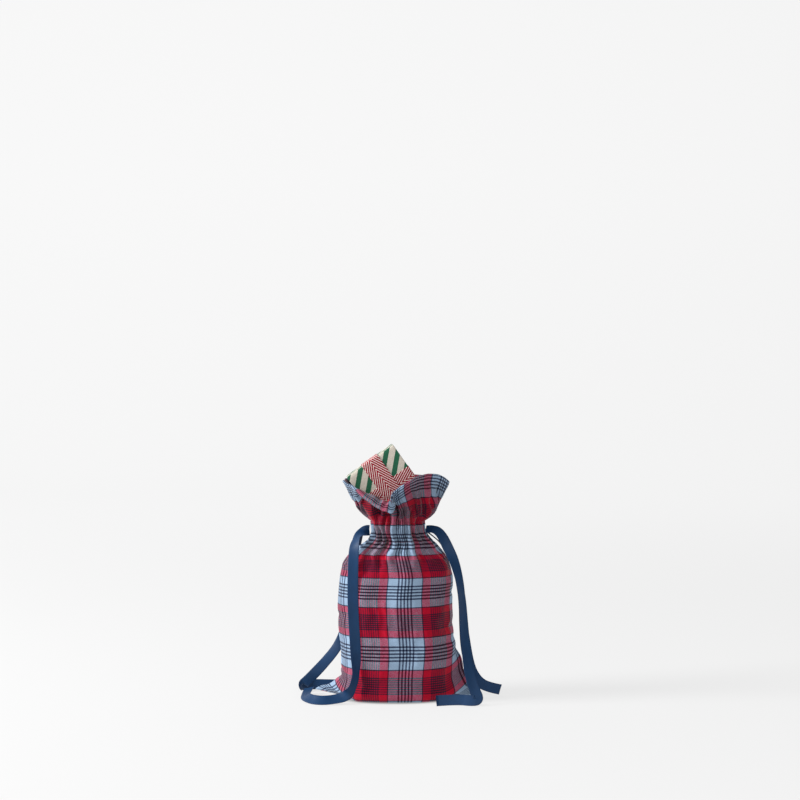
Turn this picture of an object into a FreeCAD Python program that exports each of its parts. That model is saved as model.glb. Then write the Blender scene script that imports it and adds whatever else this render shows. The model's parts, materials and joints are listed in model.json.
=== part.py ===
"""Fabric gift sack: a gathered flannel drawstring bag with the wrapped gifts it holds.

Millimetres, +Z up, front towards -Y.  The origin is the centre of the base, on the floor.
"""
import FreeCAD, Part
import math
import os

from FreeCAD import Vector

os.makedirs("parts", exist_ok=True)

# ---- driving dimensions -------------------------------------------------------------------
CLOTH = 1.0                 # brushed flannel, one layer
LAYER_GAP = 0.2             # air between a panel and its facing
CASING_LOW = 190.0          # height of the lower row of casing stitches
CASING_HIGH = 214.0         # height of the upper row of casing stitches
CHANNEL = 2.0               # depth of the channel that the drawstrings run in
RIM_HEIGHT = 268.0
FACING_LOW = 186.0          # the facing ends just below the casing

RIBBON_WIDTH = 12.7         # half-inch ribbon
RIBBON_THICK = 0.5
EXIT_HEIGHT = 202.0         # middle of the casing
EXIT_HALF_OPENING = 3.0
EXIT_TALL = 18.0

SEAM_ALLOWANCE = 8.0
SEAM_THICK = 1.6

CARTON_WALL = 0.8
PAPER = 0.3
WRAP_GAP = 0.1
BAND_WIDTH = 23.0           # wide woven band on the gifts
BAND_THICK = 0.35

UPPER_GIFT = (67.0, 31.0, 85.0)       # width, thickness, length
UPPER_GIFT_CENTRE = Vector(-6.0, 0.0, 251.0)
UPPER_GIFT_LEAN = 35.0                # degrees, towards -X
UPPER_GIFT_YAW = 4.0                  # degrees about its own length

LOWER_GIFT = (100.0, 42.0, 140.0)
LOWER_GIFT_BASE = 3.2

STITCH_LENGTH = 3.0
STITCH_PITCH = 4.4
STITCH_TALL = 0.5
STITCH_DEPTH = 0.35                   # how far a stitch is sunk in the cloth
STITCH_PROUD = 0.25

ARC_SHARE = 0.45                      # of the shorter run beside a bend, in a drawstring tail
ARC_STEP = 12.0                       # degrees between a tail's sections in a bend
STRAIGHT_STEP = 9.0                   # and the distance between them on a straight run

# height, centre x, half width, half depth, corner exponent of the sack's outside
PROFILE = [
    (0.0, 0.0, 64.0, 27.0, 2.8),
    (8.0, 0.0, 68.0, 31.0, 2.8),
    (60.0, 0.0, 68.5, 33.0, 2.8),
    (115.0, 0.0, 69.5, 33.0, 2.8),
    (150.0, 0.5, 67.5, 32.0, 2.8),
    (165.0, 0.8, 63.5, 31.0, 2.9),
    (175.0, 1.0, 57.5, 30.0, 3.0),
    (185.0, 2.0, 45.0, 29.0, 3.3),
    (190.0, 2.5, 36.5, 28.5, 3.6),
    (196.0, 3.0, 33.0, 28.5, 3.6),
    (208.0, 3.0, 33.0, 28.5, 3.6),
    (214.0, 3.5, 34.0, 28.5, 3.6),
    (223.0, 3.5, 41.0, 29.0, 3.4),
    (232.0, 3.0, 49.0, 30.0, 3.2),
    (245.0, 2.0, 58.0, 31.5, 3.0),
    (258.0, 0.5, 64.5, 33.0, 3.0),
    (268.0, -0.5, 67.0, 34.0, 3.0),
]

# the front of the heading falls in a V: x and z of its edge, from left to right
FRONT_RIM = [(-75.0, 266.0), (-60.0, 262.0), (-43.0, 249.0), (-13.0, 236.0), (3.0, 252.0),
             (23.0, 264.0), (46.0, 270.0), (75.0, 270.0)]

# each corner of the base is a folded ear lying on the floor:
# x where it leaves the body, x of the tip, height at the body, height at the tip
LEFT_EAR = (-58.0, -94.0, 24.0, 4.0)
RIGHT_EAR = (60.0, 94.0, 58.0, 6.0)
EAR_ROOT_DEPTH = 22.0
EAR_TIP_DEPTH = 5.0

# drawstring tails: route point, then the way the ribbon's face looks there
FRONT = (0.0, -1.0, 0.0)
BACK = (0.0, 1.0, 0.0)
UP = (0.0, 0.0, 1.0)
TAILS = {
    "left_front_tail": [
        ((-30.6, -1.2, 202.0), FRONT), ((-45.5, -9.0, 201.5), FRONT), ((-48.5, -28.0, 177.0), FRONT),
        ((-50.0, -34.0, 120.0), FRONT), ((-49.0, -34.5, 66.0), FRONT), ((-46.5, -36.0, 30.0), FRONT),
        ((-55.0, -42.0, 9.5), FRONT), ((-76.0, -50.0, 7.0), FRONT), ((-100.0, -46.0, 6.9), FRONT),
        ((-113.0, -22.0, 6.9), (-1.0, -0.2, 0.1)), ((-112.0, 6.0, 5.0), (-0.6, 0.0, 0.8)),
        ((-106.0, 36.0, 0.8), UP),
    ],
    "left_back_tail": [
        ((-30.6, 1.2, 202.0), FRONT), ((-46.0, 11.0, 201.0), FRONT), ((-61.0, 29.0, 174.0), FRONT),
        ((-67.0, 40.0, 122.0), FRONT), ((-73.0, 44.0, 76.0), FRONT), ((-88.0, 43.0, 44.0), FRONT),
        ((-106.0, 42.0, 22.0), (-0.2, -1.0, 0.0)), ((-121.0, 46.0, 11.5), (-0.7, -0.7, 0.0)),
        ((-121.5, 62.0, 7.0), (-1.0, 0.1, 0.0)), ((-107.0, 70.0, 6.8), (-0.3, 1.0, 0.0)),
        ((-88.0, 68.0, 6.8), BACK), ((-70.0, 60.0, 6.8), BACK),
    ],
    "right_front_tail": [
        ((36.6, -1.2, 203.0), FRONT), ((52.0, -8.0, 205.5), FRONT), ((64.0, -16.0, 186.0), FRONT),
        ((77.0, -25.0, 152.0), FRONT), ((82.0, -31.0, 110.0), FRONT), ((84.5, -37.0, 66.0), FRONT),
        ((90.0, -46.0, 33.0), FRONT), ((95.0, -56.0, 15.0), (0.3, -1.0, 0.0)),
        ((84.0, -65.0, 6.6), (0.1, -0.9, 0.3)), ((64.0, -66.0, 5.8), (0.0, -0.8, 0.6)),
        ((48.0, -62.0, 5.2), (0.0, -0.7, 0.7)),
    ],
    "right_back_tail": [
        ((36.6, 1.2, 201.0), FRONT), ((53.0, 8.0, 198.0), FRONT), ((68.0, 13.0, 172.0), FRONT),
        ((79.5, 13.0, 132.0), FRONT), ((83.5, 10.0, 86.0), FRONT), ((91.0, 4.0, 44.0), FRONT),
        ((105.0, 6.0, 18.0), FRONT), ((126.6, 14.0, 6.8), FRONT),
    ],
}


# ---- the sack's shape -----------------------------------------------------------------------
def section_at(z):
    """Centre x, half width, half depth and corner exponent of the sack's outside at a height."""
    for low, high in zip(PROFILE, PROFILE[1:]):
        if z <= high[0]:
            share = (z - low[0]) / (high[0] - low[0])
            return [a + (b - a) * share for a, b in zip(low[1:], high[1:])]
    return list(PROFILE[-1][1:])


def rounded_point(section, inset, angle):
    """A point of a rounded rectangle, that much inside the section."""
    centre, width, depth, exponent = section
    cos, sin = math.cos(angle), math.sin(angle)
    x = math.copysign(abs(cos) ** (2.0 / exponent), cos)
    y = math.copysign(abs(sin) ** (2.0 / exponent), sin)
    return centre + (width - inset) * x, (depth - inset) * y


def half_curve(z, inset, side, count=15):
    """Half of a section, from its left end to its right end, at the front (-1) or the back (1)."""
    section = section_at(z)
    points = []
    for i in range(count):
        angle = math.pi * (1.0 - i / (count - 1.0))
        x, y = rounded_point(section, inset, angle)
        points.append(Vector(x, 0.0 if i in (0, count - 1) else side * y, z))
    curve = Part.BSplineCurve()
    curve.interpolate(points, Parameters=[float(i) for i in range(count)])
    return curve.toShape(), points[0], points[-1]


def half_shell(levels, side):
    """A closed half shell through (height, outer inset, inner inset) levels."""
    wires = []
    for z, outer, inner in levels:
        out_edge, out_left, out_right = half_curve(z, outer, side)
        in_edge, in_left, in_right = half_curve(z, inner, side)
        edges = [out_edge, Part.makeLine(out_right, in_right), in_edge, Part.makeLine(in_left, out_left)]
        wires.append(Part.Wire(Part.__sortEdges__(edges)))
    return Part.makeLoft(wires, True, True)


def half_core(levels, side):
    """The solid half inside the sack, through (height, inset) levels."""
    wires = []
    for z, inset in levels:
        edge, left, right = half_curve(z, inset, side)
        wires.append(Part.Wire(Part.__sortEdges__([edge, Part.makeLine(right, left)])))
    return Part.makeLoft(wires, True, True)


def v_notch():
    """The space above the V of the front rim."""
    outline = [Vector(x, 0.0, z) for x, z in FRONT_RIM]
    outline += [Vector(FRONT_RIM[-1][0], 0.0, RIM_HEIGHT + 20.0), Vector(FRONT_RIM[0][0], 0.0, RIM_HEIGHT + 20.0)]
    face = Part.Face(Part.makePolygon(outline + outline[:1]))
    return face.extrude(Vector(0.0, -60.0, 0.0))


def exit_hole(x):
    """A box around the slot in a side seam that a drawstring comes out of."""
    low = Vector(x - 12.0, -EXIT_HALF_OPENING, EXIT_HEIGHT - EXIT_TALL / 2.0)
    return Part.makeBox(24.0, 2.0 * EXIT_HALF_OPENING, EXIT_TALL, low)


def ear(shape, side):
    """Half of a folded corner that lies on the floor beside the base."""
    root, tip, tall, tip_tall = shape

    def outline(x, depth, height):
        corners = [(0.0, 0.0), (side * depth, 0.0), (side * depth * 0.5, height), (0.0, height)]
        points = [Vector(x, y, z) for y, z in corners]
        return Part.makePolygon(points + points[:1])

    wedge = Part.makeLoft([outline(root, EAR_ROOT_DEPTH, tall), outline(tip, EAR_TIP_DEPTH, tip_tall)], True, True)
    levels = [(z, CLOTH * 0.5) for z, _, _, _, _ in PROFILE if z <= 115.0]
    return wedge.cut(half_core(levels, side))


def panel(side):
    """The front or back of the sack, with its half of the base, its ears and its exit slots."""
    levels = [(row[0], 0.0, CLOTH) for row in PROFILE]
    shape = half_shell(levels, side)
    base = half_core([(0.0, CLOTH * 0.5), (CLOTH, CLOTH * 0.5)], side)
    shape = shape.fuse([base, ear(LEFT_EAR, side), ear(RIGHT_EAR, side)])
    left, right = section_ends(EXIT_HEIGHT)
    shape = shape.cut(exit_hole(left)).cut(exit_hole(right))
    return shape.cut(v_notch()) if side < 0 else shape


def section_ends(z):
    """The x of the sack's left and right sides at a height."""
    centre, width = section_at(z)[:2]
    return centre - width, centre + width


def facing(side):
    """The turned-down facing: it lines the heading and makes the inner wall of the casing."""
    flat = CLOTH + LAYER_GAP
    stood_off = CLOTH + CHANNEL
    levels = [(FACING_LOW, flat), (CASING_LOW, flat), (CASING_LOW + 2.5, stood_off), (196.0, stood_off),
              (208.0, stood_off), (CASING_HIGH - 2.5, stood_off), (CASING_HIGH, flat)]
    levels += [(row[0], flat) for row in PROFILE if row[0] > CASING_HIGH]
    shape = half_shell([(z, inset, inset + CLOTH) for z, inset in levels], side)
    return shape.cut(v_notch()) if side < 0 else shape


# ---- seams and stitches ---------------------------------------------------------------------
def side_seam(direction):
    """The side seam's allowances, pressed together inside the sack, below the casing."""
    heights = [z for z, _, _, _, _ in PROFILE if 8.0 <= z <= 185.0]
    outer = []
    inner = []
    for z in heights:
        centre, width = section_at(z)[:2]
        edge = centre + direction * (width - CLOTH - LAYER_GAP)
        outer.append(Vector(edge, 0.0, z))
        inner.append(Vector(edge - direction * SEAM_ALLOWANCE, 0.0, z))
    outline = outer + inner[::-1]
    face = Part.Face(Part.makePolygon(outline + outline[:1]))
    strip = face.extrude(Vector(0.0, SEAM_THICK, 0.0))
    strip.translate(Vector(0.0, -SEAM_THICK / 2.0, 0.0))
    return strip


def bottom_seam():
    """The bottom seam's allowances, pressed open flat on the base."""
    half_length = section_at(CLOTH)[1] - 6.0
    low = Vector(-half_length, -SEAM_ALLOWANCE, CLOTH)
    return Part.makeBox(2.0 * half_length, 2.0 * SEAM_ALLOWANCE, SEAM_THICK * 0.75, low)


def stitch_row(z):
    """One row of casing stitches all round the neck, each stitch a separate solid."""
    section = section_at(z)
    steps = 720
    ring = [rounded_point(section, 0.0, 2.0 * math.pi * i / steps) for i in range(steps + 1)]
    stitches = []
    travelled = 0.0
    next_at = STITCH_PITCH / 2.0
    for (x0, y0), (x1, y1) in zip(ring, ring[1:]):
        length = math.hypot(x1 - x0, y1 - y0)
        travelled += length
        if travelled < next_at:
            continue
        next_at += STITCH_PITCH
        along = Vector((x1 - x0) / length, (y1 - y0) / length, 0.0)
        outward = Vector(along.y, -along.x, 0.0)
        corner = Vector(x1, y1, z - STITCH_TALL / 2.0) - along * (STITCH_LENGTH / 2.0)
        corner = corner - outward * STITCH_DEPTH
        sides = [along * STITCH_LENGTH, outward * (STITCH_DEPTH + STITCH_PROUD)]
        points = [corner, corner + sides[0], corner + sides[0] + sides[1], corner + sides[1]]
        face = Part.Face(Part.makePolygon(points + points[:1]))
        stitches.append(face.extrude(Vector(0.0, 0.0, STITCH_TALL)))
    return Part.makeCompound(stitches)


# ---- drawstrings ------------------------------------------------------------------------------
def casing_loop(inset, exit_direction):
    """A drawstring's loop in the casing, open where its two ends leave the sack."""
    section = section_at(EXIT_HEIGHT)
    low = EXIT_HEIGHT - RIBBON_WIDTH / 2.0
    exit_angle = 0.0 if exit_direction > 0 else math.pi
    gap = 0.012 * math.pi
    count = 49
    outline = []
    for depth in (inset, inset + RIBBON_THICK):
        points = []
        for i in range(count):
            angle = exit_angle + gap + (2.0 * math.pi - 2.0 * gap) * i / (count - 1.0)
            x, y = rounded_point(section, depth, angle)
            points.append(Vector(x, y, low))
        curve = Part.BSplineCurve()
        curve.interpolate(points)
        outline.append((curve.toShape(), points[0], points[-1]))
    (outer, outer_start, outer_end), (inner, inner_start, inner_end) = outline
    edges = [outer, Part.makeLine(outer_end, inner_end), inner, Part.makeLine(inner_start, outer_start)]
    face = Part.Face(Part.Wire(Part.__sortEdges__(edges)))
    return face.extrude(Vector(0.0, 0.0, RIBBON_WIDTH))


def bent_route(name, route):
    """Samples of a tail's centre line: place, direction and how far along the route, in points.

    Straight runs are joined by tangent arcs, each as large as its two runs allow.
    """
    points = [Vector(*place) for place, _ in route]
    radii = []
    samples = [(points[0], (points[1] - points[0]).normalize(), 0.0)]
    for i in range(1, len(points) - 1):
        run_in = points[i] - points[i - 1]
        run_out = points[i + 1] - points[i]
        reach = ARC_SHARE * min(run_in.Length, run_out.Length)
        before = Vector(run_in).normalize()
        after = Vector(run_out).normalize()
        turn = before.getAngle(after)
        radius = reach / math.tan(turn / 2.0)
        radii.append(round(radius, 1))
        start = points[i] - before * reach
        inward = (after - before * before.dot(after)).normalize()
        add_straight(samples, start, before, i - reach / run_in.Length)
        steps = max(2, int(math.ceil(math.degrees(turn) / ARC_STEP)))
        for k in range(1, steps + 1):
            angle = turn * k / steps
            place = start + before * (radius * math.sin(angle)) + inward * (radius * (1.0 - math.cos(angle)))
            heading = before * math.cos(angle) + inward * math.sin(angle)
            share = 2.0 * k / steps - 1.0
            run = run_in if share < 0.0 else run_out
            samples.append((place, heading, i + share * reach / run.Length))
    add_straight(samples, points[-1], samples[-1][1], len(points) - 1.0)
    print(name, "bend radii", radii)
    return samples


def add_straight(samples, end, heading, along):
    """Adds samples along a straight run, close enough for its twist."""
    start, _, along_start = samples[-1]
    length = (end - start).Length
    steps = max(1, int(math.ceil(length / STRAIGHT_STEP)))
    for k in range(1, steps + 1):
        share = k / steps
        samples.append((start + (end - start) * share, heading, along_start + (along - along_start) * share))


def solid_through(loops):
    """A closed solid of flat triangles through loops of four corners."""
    faces = []

    def triangle(*corners):
        faces.append(Part.Face(Part.makePolygon(list(corners) + [corners[0]])))

    for near, far in zip(loops, loops[1:]):
        for k in range(4):
            after = (k + 1) % 4
            if k < 2:
                triangle(near[k], near[after], far[after])
                triangle(near[k], far[after], far[k])
            else:
                triangle(near[k], near[after], far[k])
                triangle(near[after], far[after], far[k])
    for end in (loops[0][::-1], loops[-1]):
        triangle(end[0], end[1], end[2])
        triangle(end[0], end[2], end[3])
    shape = Part.Solid(Part.Shell(faces))
    if shape.Volume < 0.0:
        shape.reverse()
    return shape


def tail(name, route):
    """A flat ribbon along its route, its face turned as the route says."""
    faces = [Vector(*look) for _, look in route]
    samples = bent_route(name, route)
    loops = []
    length = 0.0
    for i, (place, heading, along) in enumerate(samples):
        if i:
            length += (place - samples[i - 1][0]).Length
        first = min(int(along), len(faces) - 2)
        share = along - first
        look = faces[first] * (1.0 - share) + faces[first + 1] * share
        across = look.cross(heading).normalize()
        look = heading.cross(across).normalize()
        wide = across * (RIBBON_WIDTH / 2.0)
        thick = look * (RIBBON_THICK / 2.0)
        loops.append([place - wide - thick, place + wide - thick, place + wide + thick, place - wide + thick])
    shape = solid_through(loops)
    flat_volume = length * RIBBON_WIDTH * RIBBON_THICK
    print(name, "length", round(length, 1), "volume share", round(shape.Volume / flat_volume, 3),
          "lowest", round(shape.BoundBox.ZMin, 2))
    return shape


# ---- gifts --------------------------------------------------------------------------------------
def box(size, grow=0.0):
    """A box about the origin, standing on z = -length / 2, larger all round by grow."""
    width, thick, length = [side + 2.0 * grow for side in size]
    return Part.makeBox(width, thick, length, Vector(-width / 2.0, -thick / 2.0, -length / 2.0))


def gift_pieces(size):
    """A wrapped rigid box: tray, lid, paper and two woven bands, about its own centre."""
    width, thick, length = size
    carton = (width - 2.0 * (PAPER + WRAP_GAP), thick - 2.0 * (PAPER + WRAP_GAP), length - 2.0 * (PAPER + WRAP_GAP))
    lid_depth = 22.0
    lid_gap = 0.15
    tray_size = (carton[0] - 2.0 * (CARTON_WALL + lid_gap), carton[1] - 2.0 * (CARTON_WALL + lid_gap),
                 carton[2] - (CARTON_WALL + lid_gap))
    tray = box(tray_size)
    tray.translate(Vector(0.0, 0.0, -(carton[2] - tray_size[2]) / 2.0))
    hollow = (tray_size[0] - 2.0 * CARTON_WALL, tray_size[1] - 2.0 * CARTON_WALL, tray_size[2])
    inside = box(hollow)
    inside.translate(Vector(0.0, 0.0, CARTON_WALL - (carton[2] - tray_size[2]) / 2.0))
    tray = tray.cut(inside)
    top = carton[2] / 2.0
    lid = Part.makeBox(carton[0], carton[1], lid_depth,
                       Vector(-carton[0] / 2.0, -carton[1] / 2.0, top - lid_depth))
    lid_room = Part.makeBox(carton[0] - 2.0 * CARTON_WALL, carton[1] - 2.0 * CARTON_WALL, lid_depth,
                            Vector(-carton[0] / 2.0 + CARTON_WALL, -carton[1] / 2.0 + CARTON_WALL,
                                   top - lid_depth - CARTON_WALL))
    lid = lid.cut(lid_room)
    paper = box(size).cut(box(size, -PAPER))
    around = Part.makeBox(width + 10.0, thick + 10.0, BAND_WIDTH,
                          Vector(-width / 2.0 - 5.0, -thick / 2.0 - 5.0, -BAND_WIDTH / 2.0))
    upright = Part.makeBox(BAND_WIDTH, thick + 10.0, length + 10.0,
                           Vector(-BAND_WIDTH / 2.0, -thick / 2.0 - 5.0, -length / 2.0 - 5.0))
    cross_low = 0.05
    long_low = cross_low + BAND_THICK + 0.05
    cross_band = box(size, cross_low + BAND_THICK).cut(box(size, cross_low)).common(around)
    long_band = box(size, long_low + BAND_THICK).cut(box(size, long_low)).common(upright)
    return {"carton_tray": tray, "carton_lid": lid, "wrapping_paper": paper,
            "ribbon_cross": cross_band, "ribbon_long": long_band}


def upper_gift():
    """The gift that stands in the mouth of the sack, leaning to the left."""
    pieces = gift_pieces(UPPER_GIFT)
    for shape in pieces.values():
        shape.rotate(Vector(0, 0, 0), Vector(0, 0, 1), UPPER_GIFT_YAW)
        shape.rotate(Vector(0, 0, 0), Vector(0, 1, 0), -UPPER_GIFT_LEAN)
        shape.translate(UPPER_GIFT_CENTRE)
    return pieces


def lower_gift():
    """The gift that fills the body of the sack and keeps it standing."""
    pieces = gift_pieces(LOWER_GIFT)
    for shape in pieces.values():
        shape.translate(Vector(0.0, 0.0, LOWER_GIFT_BASE + LOWER_GIFT[2] / 2.0))
    return pieces


# ---- all the nodes --------------------------------------------------------------------------------
def build():
    """Every node's shape, by name."""
    nodes = {
        "front_panel": panel(-1.0),
        "back_panel": panel(1.0),
        "front_facing": facing(-1.0),
        "back_facing": facing(1.0),
        "left_side_seam": side_seam(-1.0),
        "right_side_seam": side_seam(1.0),
        "bottom_seam": bottom_seam(),
        "upper_casing_stitching": stitch_row(CASING_HIGH),
        "lower_casing_stitching": stitch_row(CASING_LOW),
        "left_drawstring_casing_loop": casing_loop(CLOTH + 0.35, -1.0),
        "right_drawstring_casing_loop": casing_loop(CLOTH + 1.2, 1.0),
    }
    for name, route in TAILS.items():
        nodes[name] = tail(name, route)
    for label, pieces in (("upper_gift", upper_gift()), ("lower_gift", lower_gift())):
        for piece, shape in pieces.items():
            nodes[label + "_" + piece] = shape
    return nodes


for node, shape in build().items():
    shape.exportStep(os.path.join("parts", node + ".step"))
    print(node, "solids", len(shape.Solids), "valid", shape.isValid(), "volume", round(shape.Volume, 1))
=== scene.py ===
import json
import math
import bpy
import numpy as np
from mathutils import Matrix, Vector


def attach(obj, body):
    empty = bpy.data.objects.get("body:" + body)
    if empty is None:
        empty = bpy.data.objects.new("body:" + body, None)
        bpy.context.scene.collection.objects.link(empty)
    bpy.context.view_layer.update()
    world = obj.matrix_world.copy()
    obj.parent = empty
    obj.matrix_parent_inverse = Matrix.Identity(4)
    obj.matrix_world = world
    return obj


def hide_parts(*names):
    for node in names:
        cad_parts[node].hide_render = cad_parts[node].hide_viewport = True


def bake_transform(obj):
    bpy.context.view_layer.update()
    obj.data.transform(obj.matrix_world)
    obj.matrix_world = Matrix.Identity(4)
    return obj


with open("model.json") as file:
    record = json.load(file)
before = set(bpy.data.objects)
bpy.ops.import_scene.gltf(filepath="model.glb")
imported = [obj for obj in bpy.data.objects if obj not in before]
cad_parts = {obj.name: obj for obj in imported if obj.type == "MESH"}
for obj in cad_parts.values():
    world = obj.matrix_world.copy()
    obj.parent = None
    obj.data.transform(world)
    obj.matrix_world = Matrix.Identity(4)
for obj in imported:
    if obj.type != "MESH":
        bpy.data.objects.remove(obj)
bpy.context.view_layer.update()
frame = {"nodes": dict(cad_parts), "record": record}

# Lengths are millimetres until a mesh is made, which puts them in metres.
MM = 0.001

# ---- cloth -----------------------------------------------
AROUND = 360.0              # cloth round the sack; u runs from -180 to 180, with 0 at the front
SEAM_U = 90.0               # the side seams are at u = -90 and 90
SEAM_V = -33.0              # v is 0 at the front's lower edge, and the bottom seam is under the sack
CASING_V = (207.0, 230.5)   # the two rows of casing stitches
CASING_MIDDLE = sum(CASING_V) / 2.0
GATHERED_V = (203.0, 283.0)  # the gathered stretch, where the cloth's colour is darkened as painted shade
NECK_V = 192.0              # the upper gift reaches down to about here
RIM_V = 291.0
COLUMNS = 288
ROW = 3.0
CLOTH_THICK = 0.8
LAYER_GAP = 2.9             # from the outside of the heading to the inside of its facing
FACING_DEEP = 76.0
FACING_SHIFT = 9.0          # how far the facing's plaid is out of step with the outside's
FLOOR_CLEAR = 0.7
GIFT_CLEAR = 1.6            # from the upper gift's paper to the cloth, past the gift's bands
STITCH_SINK = 1.1           # how far the casing stitches draw the cloth in
STITCH_COUNT = 82
STITCH_LENGTH = 3.0
STITCH_STEPS = 4
TURN_ROW = 2.0              # cloth in each row of the turn at the rim

# v, height, centre x, half width, half depth, corner exponent
RINGS = [
    (0, 1.2, 0.5, 65.5, 33, 2.6),
    (5, 5.4, 0.5, 67, 35.5, 2.5),
    (25, 26.5, 0.8, 65.8, 37.5, 2.4),
    (60, 62, 2.5, 67.5, 38.5, 2.3),
    (95, 97, 0.2, 67.7, 38.5, 2.3),
    (125, 125.5, -0.6, 67.8, 38, 2.3),
    (152, 149.5, 1.3, 67.3, 36.5, 2.3),
    (168, 162.5, 1.4, 64.7, 35, 2.4),
    (180, 170.5, 2, 61, 33.5, 2.5),
    (188, 175.2, 2.4, 57.3, 32.2, 2.6),
    (194.5, 179, 3.2, 53.2, 31, 2.6),
    (200, 184, 5.2, 46.8, 29.6, 2.7),
    (204, 188, 6.4, 42.4, 28.8, 2.8),
    (207, 191, 6.4, 39.8, 28.4, 2.8),
    (213, 197, 5, 35.6, 28, 2.8),
    (221, 205, 3.7, 33, 27.8, 2.8),
    (230.5, 214.5, 3.6, 33, 27.6, 2.8),
]

# the rim: u, x, y, height, and the angle from upright at which the cloth ends
RIM = [
    (-180, 0, 28, 264, 12), (-160, -20, 27, 263, 14),
    (-140, -38, 22, 262, 18), (-122, -52, 14, 261, 22),
    (-106, -60.5, 5, 260.5, 24), (-90, -62.5, -7, 260, 30),
    (-75, -57, -22, 258.5, 32), (-62, -50, -33, 256.5, 42),
    (-50, -44, -42, 251.5, 100), (-36, -31, -50, 242, 142),
    (-22, -18, -54, 234, 155), (-10, -8.8, -55.5, 231, 158),
    (-2, -3.8, -54.5, 230.5, 152), (3, -2.4, -46, 237.5, 112),
    (7.5, -2, -38, 244.5, 58), (12, -0.8, -34, 249, 28), (18, 2, -33.5, 252.5, 22),
    (34, 11, -36, 259.5, 26), (50, 22, -38, 266, 26), (68, 36, -34, 270.5, 24),
    (84, 50, -25, 270, 20), (98, 60, -14, 265, 16), (110, 65, -3, 260, 12),
    (120, 61.5, 8, 261, 12), (132, 52, 17, 262, 15), (147, 36, 24, 264, 13),
    (163, 18, 27, 265, 12),
]

# depth of the gathers, by v
GATHERS = [(0, 0), (140, 0), (158, 0.5), (178, 1.4), (194, 2.6), (207, 3.3), (218, 3.3),
           (230.5, 3.5), (241, 3.9), (254, 2.8), (272, 1.4), (291, 0.6)]
GATHER_COUNT = 23

# long folds that run down from the neck: u, half width, depth, v where they fade out
SHOULDER_FOLDS = [
    (-18, 7, 7, 148), (41, 7.5, 6.5, 150), (-50, 8, 3.5, 160), (64, 8, 3.5, 158),
    (9, 5, 2, 165), (84, 7, 3, 160), (-80, 7, 3, 162), (112, 8, 4, 152),
    (140, 8, 4, 155), (165, 7, 3.5, 160), (-165, 7, 4.5, 150), (-135, 8, 3.5, 158),
    (-108, 7, 4, 155),
]

# short level creases in the body: u, half width, depth, v
CREASES = [
    (66, 22, 2.2, 68), (74, 20, 2.2, 86), (-86, 20, 2.2, 30), (-80, 22, 1.8, 98),
    (-20, 26, 1.4, 168), (30, 24, 1.4, 160), (20, 34, 0.9, 12), (-40, 30, 1.2, 18),
    (60, 24, 1.8, 148), (-56, 26, 1.8, 156), (150, 40, 2, 70),
    (-150, 40, 2, 104), (176, 36, 1.8, 148), (100, 24, 1.8, 126),
]

# long folds in the heading: u, half width, depth, share of the heading's height where they fade out
HEADING_FOLDS = [
    (6.5, 3.6, 8, 0.8), (45, 4.5, 8, 1), (62, 4.5, 8, 0.85), (24, 4, 3, 0.7),
    (-14, 4, 4, 0.5), (-32, 6, 4.5, 0.55), (-52, 5, 4, 0.6), (-68, 5, 3.5, 0.8),
    (92, 6, 3.5, 1), (118, 8, 5, 1), (150, 8, 6, 1), (-168, 7, 6, 1),
    (-138, 8, 5, 1), (-108, 7, 4, 1),
]

# the ridge of each folded bottom corner: v, u, x, y, height
LEFT_RIDGE = [
    (-33, -90, -97, 12, 8), (-22, -90, -89, 11, 12.5), (-10, -90, -80.5, 9, 14.5),
    (-2, -90, -75, 8, 18), (7, -90, -69.5, 6, 23), (18, -90, -64, 4, 27.5),
    (30, -90, -65.5, 1, 35), (45, -90, -65, 0, 48),
]
RIGHT_RIDGE = [
    (-33, 90, 93, 2, 2.6), (-12, 90, 89.5, 0, 11), (2.5, 93, 86.3, -2, 19.5),
    (20, 97, 82.5, -2, 37), (38.5, 98, 78, -1, 52.5), (44, 98, 75, 0, 56.5),
    (50, 98, 72.5, 0, 60.5), (60, 97, 71.5, 0, 68), (76, 94, 70.5, 0, 79),
]
LEFT_EAR = (40.0, 1.3)      # half width of the fold in cloth, and how sharp it is
RIGHT_EAR = (30.0, 1.5)

# one over the half width and half depth, in metres, of the shadow painted on the floor under the sack
FOOTPRINT_SCALE = (1.0 / 0.068, 1.0 / 0.036, 0.0)

# ---- drawstrings -----------------------------------------
RIBBON_WIDTH = 12.7
RIBBON_THICK = 0.5
FRONT = (0.0, -1.0, 0.0)
BACK = (0.0, 1.0, 0.0)

# ---- gifts -----------------------------------------------
UPPER_GIFT = (67.0, 31.0, 85.0)     # width, thickness, length
LOWER_GIFT = (100.0, 42.0, 140.0)
UPPER_GIFT_PLACE = ((-6.0, 0.0, 251.0), 35.0, 4.0)     # centre, lean and turn about its own length
LOWER_GIFT_PLACE = ((0.0, 0.0, 73.2), 0.0, 0.0)
BAND_WIDTH = 23.0
BAND_THICK = 0.35
CROSS_LIFT = 0.35                   # from the box to the middle of the band across it
LONG_LIFT = (0.75, 0.80)            # and of the band along it, at the box's ends and on its front
CORNER_STEPS = 5
EDGE_STEP = 3.0                     # rough spacing of the points along a gift's straight edges
END_SHARES = (0.35, 0.7, 1.0)       # how far in each row of a gift's closed end reaches

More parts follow.
